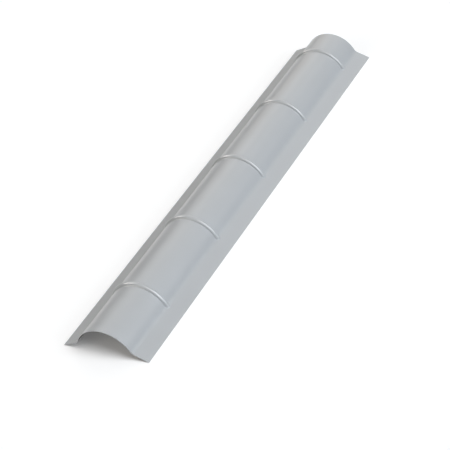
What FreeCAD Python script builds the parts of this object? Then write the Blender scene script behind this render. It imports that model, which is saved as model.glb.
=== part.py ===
import FreeCAD, Part
import math
import os

# Half-round ridge cap for a sheet metal roof: one length of thin coated steel, rolled to a
# round crest with a rounded valley and a sloping flange on each side, and stiffened by beads
# pressed outwards across the crest. Millimetres, +Z up, +Y along the ridge towards the
# lapped end. The origin is on the floor, midway between the flange edges and the two ends.

# Driving dimensions of the sheet, measured on the weather face
LENGTH = 2000.0
SHEET_THICKNESS = 0.5
CREST_RADIUS = 119.0
CREST_HALF_ANGLE = 63.0
VALLEY_RADIUS = 30.0
FLANGE_SLOPE = 22.0
FLANGE_WIDTH = 56.0

# Driving dimensions of the stiffening beads
BEAD_COUNT = 5
BEAD_PITCH = 400.0
LAP_LENGTH = 140.0
BEAD_HEIGHT = 8.0
BEAD_CROWN_RADIUS = 12.0
BEAD_FOOT_RADIUS = 2.5
BEAD_FOOT_ANGLE = 15.0

# Room that the hollow form and the bead tools take past the faces that they cut
CUT_OVERRUN = 6.0
SWEEP_OVERRUN = 2.0

crest_angle = math.radians(CREST_HALF_ANGLE)
slope = math.radians(FLANGE_SLOPE)
foot_angle = math.radians(BEAD_FOOT_ANGLE)
valley_reach = CREST_RADIUS + VALLEY_RADIUS


def polar(radius, angle):
    """Offset in the cross-section, with the angle measured from straight up towards +X."""
    return FreeCAD.Vector(radius * math.sin(angle), 0, radius * math.cos(angle))


def flange_tip(inset):
    """Outer edge of the +X flange from the crest's axis, on the face that far under the weather face."""
    valley_end = polar(valley_reach, crest_angle) - polar(VALLEY_RADIUS + inset, slope)
    return valley_end + FreeCAD.Vector(FLANGE_WIDTH * math.cos(slope), 0, -FLANGE_WIDTH * math.sin(slope))


# The underside's outer edges rest on the floor, which sets the height of the crest's axis
crest_axis = FreeCAD.Vector(0, 0, -flange_tip(SHEET_THICKNESS).z)


def mirrored(point):
    """The same point on the other side of the ridge line."""
    return FreeCAD.Vector(-point.x, point.y, point.z)


def skin_edges(inset):
    """One face of the sheet as a line of edges, from the -X flange's edge to the +X one."""
    middle_of_valley = (crest_angle + slope) / 2
    valley_centre = crest_axis + polar(valley_reach, crest_angle)
    tip = crest_axis + flange_tip(inset)
    valley_end = valley_centre - polar(VALLEY_RADIUS + inset, slope)
    valley_middle = valley_centre - polar(VALLEY_RADIUS + inset, middle_of_valley)
    crest_end = crest_axis + polar(CREST_RADIUS - inset, crest_angle)
    crest_top = crest_axis + polar(CREST_RADIUS - inset, 0)
    return [
        Part.LineSegment(mirrored(tip), mirrored(valley_end)),
        Part.Arc(mirrored(valley_end), mirrored(valley_middle), mirrored(crest_end)),
        Part.Arc(mirrored(crest_end), crest_top, crest_end),
        Part.Arc(crest_end, valley_middle, valley_end),
        Part.LineSegment(valley_end, tip),
    ]


def ridge_block(inset, lower_corner, overrun):
    """Solid under one face of the sheet, closed through a lower corner and its mirror image."""
    tip = crest_axis + flange_tip(inset)
    closing = [tip, lower_corner, mirrored(lower_corner), mirrored(tip)]
    edges = [curve.toShape() for curve in skin_edges(inset)]
    edges += [Part.makeLine(a, b) for a, b in zip(closing, closing[1:])]
    face = Part.Face(Part.Wire(edges))
    face.translate(FreeCAD.Vector(0, -LENGTH / 2 - overrun, 0))
    return face.extrude(FreeCAD.Vector(0, LENGTH + 2 * overrun, 0))


def bead_run_out():
    """Angle from the crest line at which the rising valley swallows a bead's crown."""
    crown = CREST_RADIUS + BEAD_HEIGHT
    cosine = (valley_reach**2 + crown**2 - VALLEY_RADIUS**2) / (2 * valley_reach * crown)
    return crest_angle + math.acos(cosine)


def bead_form(inset, along):
    """Solid under one face of a bead: a round crown on two flared feet, turned about the crest's axis.

    The feet cross the crest at a small angle, so that each bead has a clean foot line.
    """
    crown_radius = BEAD_CROWN_RADIUS - inset
    foot_radius = BEAD_FOOT_RADIUS + inset
    crown_centre = CREST_RADIUS + BEAD_HEIGHT - BEAD_CROWN_RADIUS
    foot_centre = CREST_RADIUS + BEAD_FOOT_RADIUS * math.cos(foot_angle)
    rise = foot_centre - crown_centre
    half_width = math.sqrt((BEAD_CROWN_RADIUS + BEAD_FOOT_RADIUS) ** 2 - rise**2)
    flank = math.atan2(half_width, rise)
    foot_end = math.acos((foot_centre - CREST_RADIUS + inset) / foot_radius)

    def on_section(across, radius):
        return FreeCAD.Vector(0, along + across, crest_axis.z + radius)

    def on_foot(side, angle):
        across = side * (half_width - foot_radius * math.sin(angle))
        return on_section(across, foot_centre - foot_radius * math.cos(angle))

    depth = FreeCAD.Vector(0, 0, -CUT_OVERRUN)
    crown = on_section(0, crown_centre + crown_radius)
    near_foot, far_foot = [
        [on_foot(side, angle) for angle in (foot_end, (foot_end + flank) / 2, flank)] for side in (-1, 1)
    ]
    edges = [
        Part.LineSegment(near_foot[0] + depth, near_foot[0]),
        Part.Arc(*near_foot),
        Part.Arc(near_foot[2], crown, far_foot[2]),
        Part.Arc(*reversed(far_foot)),
        Part.LineSegment(far_foot[0], far_foot[0] + depth),
        Part.LineSegment(far_foot[0] + depth, near_foot[0] + depth),
    ]
    section = Part.Face(Part.Wire([edge.toShape() for edge in edges]))
    sweep = math.degrees(bead_run_out()) + SWEEP_OVERRUN
    ridge_line = FreeCAD.Vector(0, 1, 0)
    section.rotate(crest_axis, ridge_line, -sweep)
    return section.revolve(crest_axis, ridge_line, 2 * sweep)


def bead_places():
    """Where the beads lie along the ridge, counted back from the lapped end."""
    last = LENGTH / 2 - LAP_LENGTH
    return [last - index * BEAD_PITCH for index in range(BEAD_COUNT)]


def ridge_form(inset, lower_corner, overrun):
    """Solid under one whole face of the sheet, with each bead joined on in turn."""
    form = ridge_block(inset, lower_corner, overrun)
    for along in bead_places():
        form = form.fuse(bead_form(inset, along))
    return form


def ridge_cap():
    """The sheet: what lies under its weather face, less what lies under its underside."""
    edge = crest_axis + flange_tip(SHEET_THICKNESS)
    outer = ridge_form(0.0, edge, 0.0)
    below = edge - FreeCAD.Vector(0, 0, CUT_OVERRUN)
    inner = ridge_form(SHEET_THICKNESS, below, CUT_OVERRUN)
    return outer.cut(inner)


os.makedirs("parts", exist_ok=True)
cap = ridge_cap()
cap.exportStep("parts/ridge_cap.step")

box = cap.optimalBoundingBox(False)
print(f"ridge_cap: {len(cap.Solids)} solid, valid {cap.isValid()}, volume {cap.Volume / 1000:.1f} cm3")
print(f"size {box.XLength:.2f} x {box.YLength:.2f} x {box.ZLength:.2f} mm, lowest point {box.ZMin:.4f}")
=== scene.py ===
import bpy
import math
from mathutils import Euler, Matrix, Vector


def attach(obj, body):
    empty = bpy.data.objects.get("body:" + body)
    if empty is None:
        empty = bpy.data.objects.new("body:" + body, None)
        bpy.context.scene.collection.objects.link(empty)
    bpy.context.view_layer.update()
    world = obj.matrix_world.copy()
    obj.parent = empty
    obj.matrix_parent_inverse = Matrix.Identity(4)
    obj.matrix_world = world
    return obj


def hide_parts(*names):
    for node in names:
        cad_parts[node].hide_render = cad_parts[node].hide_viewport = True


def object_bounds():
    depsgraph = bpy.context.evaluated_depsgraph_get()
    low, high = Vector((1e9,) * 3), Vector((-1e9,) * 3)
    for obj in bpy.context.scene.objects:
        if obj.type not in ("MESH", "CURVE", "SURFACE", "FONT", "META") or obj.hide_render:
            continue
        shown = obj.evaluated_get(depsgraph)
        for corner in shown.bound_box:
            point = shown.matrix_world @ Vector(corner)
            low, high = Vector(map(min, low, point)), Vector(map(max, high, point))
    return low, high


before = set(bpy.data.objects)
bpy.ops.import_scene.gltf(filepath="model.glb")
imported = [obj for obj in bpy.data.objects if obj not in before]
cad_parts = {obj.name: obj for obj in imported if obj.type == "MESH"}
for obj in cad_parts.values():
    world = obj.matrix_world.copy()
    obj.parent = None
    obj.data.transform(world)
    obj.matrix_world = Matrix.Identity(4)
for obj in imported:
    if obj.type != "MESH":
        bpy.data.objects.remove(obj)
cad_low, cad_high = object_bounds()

# The cap itself: one length of thin steel sheet, coated on both sides in the coil, rolled to a round
# crest with a rounded valley and a sloping flange each side. The stiffening beads are pressed outwards
# across the crest and run out into the valleys. Its ends and flange edges are plain sheared cuts.
CREST_RADIUS = 0.119
CREST_HALF_ANGLE = math.radians(63)
VALLEY_RADIUS = 0.030
FLANGE_SLOPE = math.radians(22)
FLANGE_WIDTH = 0.056
SHEET_THICKNESS = 0.0005
BEAD_COUNT = 5
BEAD_PITCH = 0.400
LAP_LENGTH = 0.140
BEAD_HEIGHT = 0.008
BEAD_CROWN_RADIUS = 0.012
BEAD_FOOT_RADIUS = 0.0025
BEAD_FOOT_ANGLE = math.radians(15)
BEAD_MARGIN = 0.002
RUN_OUT_SOFTNESS = 0.003
CRISP_FOLD = math.radians(12)
SAME_PLACE = 1e-6
QUARTER_TURN = math.pi / 2
THREE_QUARTER_TURN = 3 * math.pi / 2

cap_length = cad_high.y - cad_low.y
valley_reach = CREST_RADIUS + VALLEY_RADIUS
flange_drop = FLANGE_WIDTH * math.sin(FLANGE_SLOPE)
valley_drop = (VALLEY_RADIUS + SHEET_THICKNESS) * math.cos(FLANGE_SLOPE)
crest_axis_height = cad_low.z + flange_drop + valley_drop - valley_reach * math.cos(CREST_HALF_ANGLE)


def put(tree, kind, inputs=None, **settings):
    """Adds a node, sets its own settings, and fills its inputs with values or with links."""
    node = tree.nodes.new(kind)
    for name, value in settings.items():
        setattr(node, name, value)
    for name, value in (inputs or {}).items():
        sources = value if isinstance(value, list) else [value]
        for source in sources:
            if isinstance(source, bpy.types.NodeSocket):
                tree.links.new(source, node.inputs[name])
            else:
                node.inputs[name].default_value = source
    return node


def calc(tree, operation, *values):
    """The result of one sum on fields, values or both."""
    return put(tree, "ShaderNodeMath", dict(enumerate(values)), operation=operation).outputs[0]


def point(tree, across, up):
    """A place in the flat drawing of a section, from its two distances."""
    return put(tree, "ShaderNodeCombineXYZ", {"X": across, "Y": up}).outputs[0]


def arc_points(tree, count, radius, centre, start, sweep):
    """Points along an arc of a section, counter-clockwise from the start angle."""
    size = {"Resolution": count, "Radius": radius, "Start Angle": start, "Sweep Angle": sweep}
    arc = put(tree, "GeometryNodeCurveArc", size, mode="RADIUS").outputs["Curve"]
    points = put(tree, "GeometryNodeCurveToPoints", {"Curve": arc}, mode="EVALUATED").outputs["Points"]
    return put(tree, "GeometryNodeTransform", {"Geometry": points, "Translation": centre}).outputs[0]


def mirrored_pair(tree, points):
    """Points of one side of a section, with those of the other side."""
    other = put(tree, "GeometryNodeTransform", {"Geometry": points, "Scale": (-1, 1, 1)}).outputs[0]
    return put(tree, "GeometryNodeJoinGeometry", {"Geometry": [points, other]}).outputs[0]


def drawn_section(tree, groups):
    """One line through groups of points, from left to right, that keeps each point's place."""
    joined = put(tree, "GeometryNodeJoinGeometry", {"Geometry": groups}).outputs[0]
    doubles = {"Geometry": joined, "Distance": SAME_PLACE}
    merged = put(tree, "GeometryNodeMergeByDistance", doubles).outputs[0]
    place = put(tree, "GeometryNodeInputPosition").outputs[0]
    order = put(tree, "ShaderNodeSeparateXYZ", {"Vector": place}).outputs["X"]
    line = put(tree, "GeometryNodePointsToCurves", {"Points": merged, "Weight": order}).outputs[0]
    kept = put(tree, "GeometryNodeCaptureAttribute")
    kept.capture_items.new("VECTOR", "Place")
    tree.links.new(line, kept.inputs["Geometry"])
    tree.links.new(place, kept.inputs["Place"])
    drawn = put(tree, "ShaderNodeSeparateXYZ", {"Vector": kept.outputs["Place"]})
    return kept.outputs["Geometry"], drawn.outputs["X"], drawn.outputs["Y"]


def plain_section(tree, given):
    """The section across the cap: the crest's arc, and each side a valley's arc and a straight flange."""
    half_angle, slope = given["Crest Half Angle"], given["Flange Slope"]
    axis_height, valley_radius = given["Crest Axis Height"], given["Valley Radius"]
    reach = calc(tree, "ADD", given["Crest Radius"], valley_radius)
    valley_across = calc(tree, "MULTIPLY", reach, calc(tree, "SINE", half_angle))
    valley_up = calc(tree, "MULTIPLY_ADD", reach, calc(tree, "COSINE", half_angle), axis_height)
    crest = arc_points(
        tree, given["Crest Points"], given["Crest Radius"], point(tree, 0.0, axis_height),
        calc(tree, "SUBTRACT", QUARTER_TURN, half_angle), calc(tree, "MULTIPLY", half_angle, 2.0),
    )
    valley = arc_points(
        tree, given["Valley Points"], valley_radius, point(tree, valley_across, valley_up),
        calc(tree, "SUBTRACT", THREE_QUARTER_TURN, half_angle), calc(tree, "SUBTRACT", half_angle, slope),
    )
    sine, cosine = calc(tree, "SINE", slope), calc(tree, "COSINE", slope)
    bend_across = calc(tree, "SUBTRACT", valley_across, calc(tree, "MULTIPLY", valley_radius, sine))
    bend_up = calc(tree, "SUBTRACT", valley_up, calc(tree, "MULTIPLY", valley_radius, cosine))
    number = calc(tree, "ADD", put(tree, "GeometryNodeInputIndex").outputs[0], 1.0)
    part_way = calc(tree, "DIVIDE", number, given["Flange Points"])
    outwards = calc(tree, "MULTIPLY", given["Flange Width"], part_way)
    flange_across = calc(tree, "MULTIPLY_ADD", outwards, cosine, bend_across)
    flange_up = calc(tree, "SUBTRACT", bend_up, calc(tree, "MULTIPLY", outwards, sine))
    flange_run = {"Count": given["Flange Points"], "Position": point(tree, flange_across, flange_up)}
    flange = put(tree, "GeometryNodePoints", flange_run).outputs[0]
    return drawn_section(tree, [crest, mirrored_pair(tree, valley), mirrored_pair(tree, flange)])


def beaded_line(tree, given):
    """The line along the crest: plain stretches, and at each bead a round crown on two flared feet."""
    crown_radius, foot_radius = given["Bead Crown Radius"], given["Bead Foot Radius"]
    foot_angle, pitch = given["Bead Foot Angle"], given["Bead Pitch"]
    crown_up = calc(tree, "SUBTRACT", given["Bead Height"], crown_radius)
    foot_up = calc(tree, "MULTIPLY", foot_radius, calc(tree, "COSINE", foot_angle))
    rise = calc(tree, "SUBTRACT", foot_up, crown_up)
    centres = calc(tree, "ADD", crown_radius, foot_radius)
    squares = calc(tree, "SUBTRACT", calc(tree, "POWER", centres, 2.0), calc(tree, "POWER", rise, 2.0))
    foot_across = calc(tree, "SQRT", squares)
    flank = calc(tree, "ARCTAN2", foot_across, rise)
    crown = arc_points(
        tree, given["Crown Points"], crown_radius, point(tree, 0.0, crown_up),
        calc(tree, "SUBTRACT", QUARTER_TURN, flank), calc(tree, "MULTIPLY", flank, 2.0),
    )
    foot = arc_points(
        tree, given["Foot Points"], foot_radius, point(tree, foot_across, foot_up),
        calc(tree, "SUBTRACT", THREE_QUARTER_TURN, flank), calc(tree, "SUBTRACT", flank, foot_angle),
    )
    beside = point(tree, calc(tree, "ADD", foot_across, given["Bead Margin"]), 0.0)
    margin = put(tree, "GeometryNodePoints", {"Count": 1, "Position": beside}).outputs[0]
    feet = [mirrored_pair(tree, foot), mirrored_pair(tree, margin)]
    bead = put(tree, "GeometryNodeJoinGeometry", {"Geometry": [crown, *feet]}).outputs[0]
    half_length = calc(tree, "MULTIPLY", given["Length"], 0.5)
    along_beads = {
        "Count": given["Bead Count"],
        "Start Location": point(tree, calc(tree, "SUBTRACT", half_length, given["Lap Length"]), 0.0),
        "Offset": point(tree, calc(tree, "MULTIPLY", pitch, -1.0), 0.0),
    }
    places = put(tree, "GeometryNodeMeshLine", along_beads).outputs[0]
    beads = put(tree, "GeometryNodeInstanceOnPoints", {"Points": places, "Instance": bead}).outputs[0]
    beads = put(tree, "GeometryNodeRealizeInstances", {"Geometry": beads}).outputs[0]
    halfway = point(tree, calc(tree, "MULTIPLY", pitch, -0.5), 0.0)
    plain = put(tree, "GeometryNodeMeshToPoints", {"Mesh": places}).outputs[0]
    plain = put(tree, "GeometryNodeTransform", {"Geometry": plain, "Translation": halfway}).outputs[0]
    cut = point(tree, half_length, 0.0)
    end = put(tree, "GeometryNodePoints", {"Count": 1, "Position": cut}).outputs[0]
    return drawn_section(tree, [beads, plain, mirrored_pair(tree, end)])


def formed_sheet_tree():
    """Geometry nodes for the weather face: the plain section swept along the beaded line."""
    tree = bpy.data.node_groups.new("formed_sheet", "GeometryNodeTree")
    socket = tree.interface.new_socket
    sizes = (
        "Length", "Crest Radius", "Crest Half Angle", "Crest Axis Height", "Valley Radius", "Flange Slope",
        "Flange Width", "Bead Pitch", "Lap Length", "Bead Height", "Bead Crown Radius", "Bead Foot Radius",
        "Bead Foot Angle", "Bead Margin", "Run-out Softness",
    )
    counts = (
        "Bead Count", "Crest Points", "Valley Points", "Flange Points", "Crown Points", "Foot Points",
    )
    for name in sizes:
        socket(name, in_out="INPUT", socket_type="NodeSocketFloat")
    for name in counts:
        socket(name, in_out="INPUT", socket_type="NodeSocketInt")
    socket("Coating", in_out="INPUT", socket_type="NodeSocketMaterial")
    socket("Geometry", in_out="OUTPUT", socket_type="NodeSocketGeometry")
    given = tree.nodes.new("NodeGroupInput").outputs
    section, across, up = plain_section(tree, given)
    line, along, lift = beaded_line(tree, given)
    sheet = put(tree, "GeometryNodeCurveToMesh", {"Curve": line, "Profile Curve": section}).outputs[0]

    # Each point stands at its bead's height over the crest's circle, or on the plain section if higher
    crest_radius, axis_height = given["Crest Radius"], given["Crest Axis Height"]
    above_axis = calc(tree, "SUBTRACT", up, axis_height)
    squares = calc(tree, "ADD", calc(tree, "POWER", across, 2.0), calc(tree, "POWER", above_axis, 2.0))
    distance = calc(tree, "SQRT", squares)
    plain_rise = calc(tree, "SUBTRACT", distance, crest_radius)
    softness = calc(tree, "MINIMUM", lift, given["Run-out Softness"])
    full_rise = calc(tree, "SMOOTH_MAX", plain_rise, lift, softness)
    growth = calc(tree, "DIVIDE", calc(tree, "ADD", full_rise, crest_radius), distance)
    formed = {
        "X": calc(tree, "MULTIPLY", across, growth),
        "Y": along,
        "Z": calc(tree, "MULTIPLY_ADD", above_axis, growth, axis_height),
    }
    formed_place = put(tree, "ShaderNodeCombineXYZ", formed).outputs[0]
    sheet = put(tree, "GeometryNodeSetPosition", {"Geometry": sheet, "Position": formed_place}).outputs[0]
    sheet = put(tree, "GeometryNodeSetShadeSmooth", {"Geometry": sheet}).outputs[0]
    sheet = put(tree, "GeometryNodeRealizeInstances", {"Geometry": sheet}).outputs[0]
    coating = {"Geometry": sheet, "Material": given["Coating"]}
    put(tree, "NodeGroupOutput", {"Geometry": put(tree, "GeometryNodeSetMaterial", coating).outputs[0]})
    return tree


def coil_finish():
    """Shader group for a roller-coated coil: lines along the strip, slow clouds and fine orange peel."""
    tree = bpy.data.node_groups.new("coil_finish", "ShaderNodeTree")
    socket = tree.interface.new_socket
    for name in ("Lines per Metre", "Clouds per Metre", "Peel per Metre"):
        socket(name, in_out="INPUT", socket_type="NodeSocketFloat")
    for name in ("Lines", "Clouds", "Peel"):
        socket(name, in_out="OUTPUT", socket_type="NodeSocketFloat")
    given = tree.nodes.new("NodeGroupInput").outputs
    place = put(tree, "ShaderNodeTexCoord").outputs["Object"]
    drawn_out = (1, 0.015, 1)
    along_strip = put(tree, "ShaderNodeMapping", {"Vector": place, "Scale": drawn_out}).outputs[0]
    lines = {"Vector": along_strip, "Scale": given["Lines per Metre"], "Detail": 3.0, "Roughness": 0.6}
    clouds = {"Vector": place, "Scale": given["Clouds per Metre"], "Detail": 2.0, "Roughness": 0.5}
    peel = {"Vector": place, "Scale": given["Peel per Metre"], "Detail": 1.0, "Roughness": 0.4}
    put(tree, "NodeGroupOutput", {
        "Lines": put(tree, "ShaderNodeTexNoise", lines).outputs["Fac"],
        "Clouds": put(tree, "ShaderNodeTexNoise", clouds).outputs["Fac"],
        "Peel": put(tree, "ShaderNodeTexNoise", peel).outputs["Fac"],
    })
    return tree


def blended_tone(tree, factor, first, second):
    """A colour between two others."""
    tones = {"Factor": factor, "A": first, "B": second}
    return put(tree, "ShaderNodeMix", tones, data_type="RGBA").outputs["Result"]


def gloss_range(tree, pattern, smooth, rough):
    """Roughness between two limits, spread over the middle part of a noise pattern's range."""
    spread = {"Value": pattern, "From Min": 0.3, "From Max": 0.7, "To Min": smooth, "To Max": rough}
    return put(tree, "ShaderNodeMapRange", spread).outputs[0]


def coated_face(name, finish, pale, deep, refraction, smooth, rough, lines_share, peel_depth, sizes):
    """A stoved coat whose tone and gloss drift a little with the roller's lines and clouds."""
    material = bpy.data.materials.new(name)
    material.use_nodes = True
    tree = material.node_tree
    shader = tree.nodes["Principled BSDF"]
    shader.inputs["IOR"].default_value = refraction
    pattern = put(tree, "ShaderNodeGroup", node_tree=finish)
    for size, value in sizes.items():
        pattern.inputs[size].default_value = value
    lines, clouds = pattern.outputs["Lines"], pattern.outputs["Clouds"]
    drift = calc(tree, "MULTIPLY_ADD", calc(tree, "SUBTRACT", lines, clouds), lines_share, clouds)
    relief = {"Height": pattern.outputs["Peel"], "Strength": 1.0, "Distance": peel_depth}
    tree.links.new(blended_tone(tree, drift, deep, pale), shader.inputs["Base Color"])
    tree.links.new(gloss_range(tree, drift, smooth, rough), shader.inputs["Roughness"])
    tree.links.new(put(tree, "ShaderNodeBump", relief).outputs[0], shader.inputs["Normal"])
    return material


def weather_coat(finish):
    """Light bluish grey satin polyester on the weather face, with a fine flake that lifts its sheen."""
    return coated_face(
        "weather_coat", finish, pale=(0.384, 0.415, 0.446, 1), deep=(0.365, 0.392, 0.419, 1),
        refraction=2.0, smooth=0.28, rough=0.32, lines_share=0.15, peel_depth=0.000006,
        sizes={"Lines per Metre": 150.0, "Clouds per Metre": 9.0, "Peel per Metre": 700.0},
    )


def back_coat(finish):
    """Thin matt service coat on the underside, a little warmer and less even."""
    return coated_face(
        "back_coat", finish, pale=(0.43, 0.425, 0.41, 1), deep=(0.34, 0.335, 0.32, 1),
        refraction=1.5, smooth=0.52, rough=0.68, lines_share=0.5, peel_depth=0.000012,
        sizes={"Lines per Metre": 110.0, "Clouds per Metre": 14.0, "Peel per Metre": 500.0},
    )


def cut_edge():
    """Bare galvanised steel at the sheared edges: bright where the blade rubbed, dull where it tore."""
    material = bpy.data.materials.new("cut_edge")
    material.use_nodes = True
    tree = material.node_tree
    shader = tree.nodes["Principled BSDF"]
    shader.inputs["Metallic"].default_value = 1.0
    place = put(tree, "ShaderNodeTexCoord").outputs["Object"]
    grain = {"Vector": place, "Scale": 900.0, "Detail": 4.0}
    torn = put(tree, "ShaderNodeTexNoise", grain).outputs["Fac"]
    bright, dull = (0.62, 0.63, 0.64, 1), (0.36, 0.36, 0.36, 1)
    tree.links.new(blended_tone(tree, torn, bright, dull), shader.inputs["Base Color"])
    tree.links.new(gloss_range(tree, torn, smooth=0.32, rough=0.6), shader.inputs["Roughness"])
    return material


finish = coil_finish()
coats = [weather_coat(finish), back_coat(finish), cut_edge()]
draft = bpy.data.objects.new("ridge_cap_draft", bpy.data.meshes.new("ridge_cap_draft"))
bpy.context.scene.collection.objects.link(draft)
for coat in coats:
    draft.data.materials.append(coat)
forming = draft.modifiers.new("forming", "NODES")
forming.node_group = formed_sheet_tree()
sheet_inputs = {
    "Length": cap_length,
    "Crest Radius": CREST_RADIUS,
    "Crest Half Angle": CREST_HALF_ANGLE,
    "Crest Axis Height": crest_axis_height,
    "Valley Radius": VALLEY_RADIUS,
    "Flange Slope": FLANGE_SLOPE,
    "Flange Width": FLANGE_WIDTH,
    "Bead Count": BEAD_COUNT,
    "Bead Pitch": BEAD_PITCH,
    "Lap Length": LAP_LENGTH,
    "Bead Height": BEAD_HEIGHT,
    "Bead Crown Radius": BEAD_CROWN_RADIUS,
    "Bead Foot Radius": BEAD_FOOT_RADIUS,
    "Bead Foot Angle": BEAD_FOOT_ANGLE,
    "Bead Margin": BEAD_MARGIN,
    "Run-out Softness": RUN_OUT_SOFTNESS,
    "Crest Points": 91,
    "Valley Points": 31,
    "Flange Points": 6,
    "Crown Points": 25,
    "Foot Points": 9,
    "Coating": coats[0],
}
for item in forming.node_group.interface.items_tree:
    if item.in_out == "INPUT":
        forming[item.identifier] = sheet_inputs[item.name]

# The sheet's thickness goes inwards, with the back coat under the weather coat and bare steel at the cuts
gauge = draft.modifiers.new("gauge", "SOLIDIFY")
gauge.thickness = SHEET_THICKNESS
gauge.offset = -1
gauge.use_even_offset = True
gauge.material_offset = 1
gauge.material_offset_rim = 2
evaluated = draft.evaluated_get(bpy.context.evaluated_depsgraph_get())
sheet_mesh = bpy.data.meshes.new_from_object(evaluated)
bpy.data.objects.remove(draft)

# The new mesh holds only the coat that the nodes set, so the other two are added after it
for coat in coats[len(sheet_mesh.materials):]:
    sheet_mesh.materials.append(coat)
sheet_mesh.set_sharp_from_angle(angle=CRISP_FOLD)
sheet = bpy.data.objects.new("formed_sheet", sheet_mesh)
bpy.context.scene.collection.objects.link(sheet)
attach(sheet, "root")
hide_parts("ridge_cap")

# Floor of the studio: a wide sheet of white paper that takes the cap's soft shadow. A little light of
# its own, for the camera and for reflections alone, keeps it plain white where nothing shades it.
FLOOR_REACH = 60.0
PAPER_COLOUR = (0.921, 0.949, 0.984, 1)
BOUNCE_COLOUR = (0.30, 0.30, 0.30, 1)
PAPER_LIFT = 0.12


def seen_directly(tree):
    """One for rays that show a thing, plainly, in a mirror or through glass, and nought for light."""
    path = put(tree, "ShaderNodeLightPath").outputs
    seen = calc(tree, "MAXIMUM", path["Is Camera Ray"], path["Is Glossy Ray"])
    return calc(tree, "MAXIMUM", seen, path["Is Transmission Ray"])


floor_mesh = bpy.data.meshes.new("floor")
corners = [(-1, -1), (1, -1), (1, 1), (-1, 1)]
floor_points = [(x * FLOOR_REACH, y * FLOOR_REACH, cad_low.z) for x, y in corners]
floor_mesh.from_pydata(floor_points, [], [(0, 1, 2, 3)])
floor = bpy.data.objects.new("floor", floor_mesh)
bpy.context.scene.collection.objects.link(floor)
paper = bpy.data.materials.new("studio_paper")
paper.use_nodes = True
tree = paper.node_tree
tree.nodes.clear()
seen = seen_directly(tree)
tint = blended_tone(tree, seen, BOUNCE_COLOUR, PAPER_COLOUR)
matt = put(tree, "ShaderNodeBsdfDiffuse", {"Color": tint}).outputs[0]
lift = put(tree, "ShaderNodeEmission", {"Strength": calc(tree, "MULTIPLY", seen, PAPER_LIFT)}).outputs[0]
lifted = put(tree, "ShaderNodeAddShader", {0: matt, 1: lift}).outputs[0]
put(tree, "ShaderNodeOutputMaterial", {"Surface": lifted})
floor_mesh.materials.append(paper)

# Studio light: soft lamps far away on all sides, cooler on the right and warmer on the left. Each is
# given by where it stands round the cap, how high, how wide it looks, and its share of a plain white
# level on paper. They draw a light band along each bead, and one shows in the coat's sheen alone.
COOL = (0.96, 1.0, 1.04)
EVEN = (1.05, 1.0, 0.95)
WARM = (1.10, 1.0, 0.88)


def soft_lamp(name, azimuth, elevation, width, share, colour, sheen_only=False):
    """A distant lamp of that apparent width, turned towards the cap, or seen in its sheen alone."""
    lamp = bpy.data.lights.new(name, "SUN")
    lamp.energy = math.pi * share
    lamp.angle = math.radians(width)
    lamp.color = colour
    standing = bpy.data.objects.new(name, lamp)
    standing.visible_diffuse = not sheen_only
    bpy.context.scene.collection.objects.link(standing)
    level = math.cos(math.radians(elevation))
    towards = Vector((
        level * math.cos(math.radians(azimuth)),
        level * math.sin(math.radians(azimuth)),
        math.sin(math.radians(elevation)),
    ))
    standing.rotation_euler = towards.to_track_quat("Z", "Y").to_euler()


soft_lamp("right_side", azimuth=3, elevation=39, width=45, share=0.56, colour=COOL)
soft_lamp("low_right", azimuth=0, elevation=15, width=40, share=0.12, colour=COOL)
soft_lamp("overhead", azimuth=0, elevation=66, width=40, share=0.27, colour=EVEN)
soft_lamp("zenith", azimuth=100, elevation=86, width=35, share=0.09, colour=WARM)
soft_lamp("left_side", azimuth=168, elevation=36, width=25, share=0.04, colour=WARM)
soft_lamp("left_sheen", azimuth=165, elevation=37, width=32, share=0.34, colour=EVEN, sheen_only=True)
soft_lamp("low_front", azimuth=238, elevation=15, width=40, share=0.20, colour=WARM)
soft_lamp("high_front", azimuth=240, elevation=60, width=40, share=0.05, colour=WARM)
soft_lamp("back_right", azimuth=45, elevation=38, width=50, share=0.05, colour=EVEN)
soft_lamp("back", azimuth=95, elevation=38, width=35, share=0.06, colour=EVEN)
soft_lamp("back_left", azimuth=122, elevation=38, width=25, share=0.037, colour=EVEN)
soft_lamp("low_back", azimuth=120, elevation=15, width=25, share=0.034, colour=WARM)

# Backdrop of the studio: plain pale grey to the camera and in reflections. To everything else it is a
# faint fill, which keeps the cap's shaded sides from going black.
BACKDROP_COLOUR = (1, 1, 1, 1)
BACKDROP_LEVEL = 0.4
FILL_LEVEL = 0.02
world = bpy.data.worlds.new("studio")
world.use_nodes = True
tree = world.node_tree
backdrop = tree.nodes["Background"]
backdrop.inputs["Color"].default_value = BACKDROP_COLOUR
levels = {"Value": seen_directly(tree), "To Min": FILL_LEVEL, "To Max": BACKDROP_LEVEL}
tree.links.new(put(tree, "ShaderNodeMapRange", levels).outputs[0], backdrop.inputs["Strength"])
bpy.context.scene.world = world

# Camera: it stands to the near right of the cap, well above it, and looks down its length through a
# long lens. It leans a little, so that the cap runs steeply from the lower left to the upper right.
CAMERA_STAND = Vector((2.6400, -4.0580, 3.3158))
CAMERA_TILT = math.radians(53.585)
CAMERA_LEAN = math.radians(9.991)
CAMERA_HEADING = math.radians(26.457)
LENS_LENGTH = 120.449
SENSOR_WIDTH = 36
SIGHT_LIMIT = 200
camera_data = bpy.data.cameras.new("camera")
camera_data.lens = LENS_LENGTH
camera_data.sensor_width = SENSOR_WIDTH
camera_data.clip_end = SIGHT_LIMIT
camera = bpy.data.objects.new("camera", camera_data)
bpy.context.scene.collection.objects.link(camera)
camera_turn = Euler((CAMERA_TILT, CAMERA_LEAN, CAMERA_HEADING))
camera.matrix_world = Matrix.LocRotScale(CAMERA_STAND, camera_turn, None)
bpy.context.scene.camera = camera
bpy.context.scene.view_settings.view_transform = "Standard"
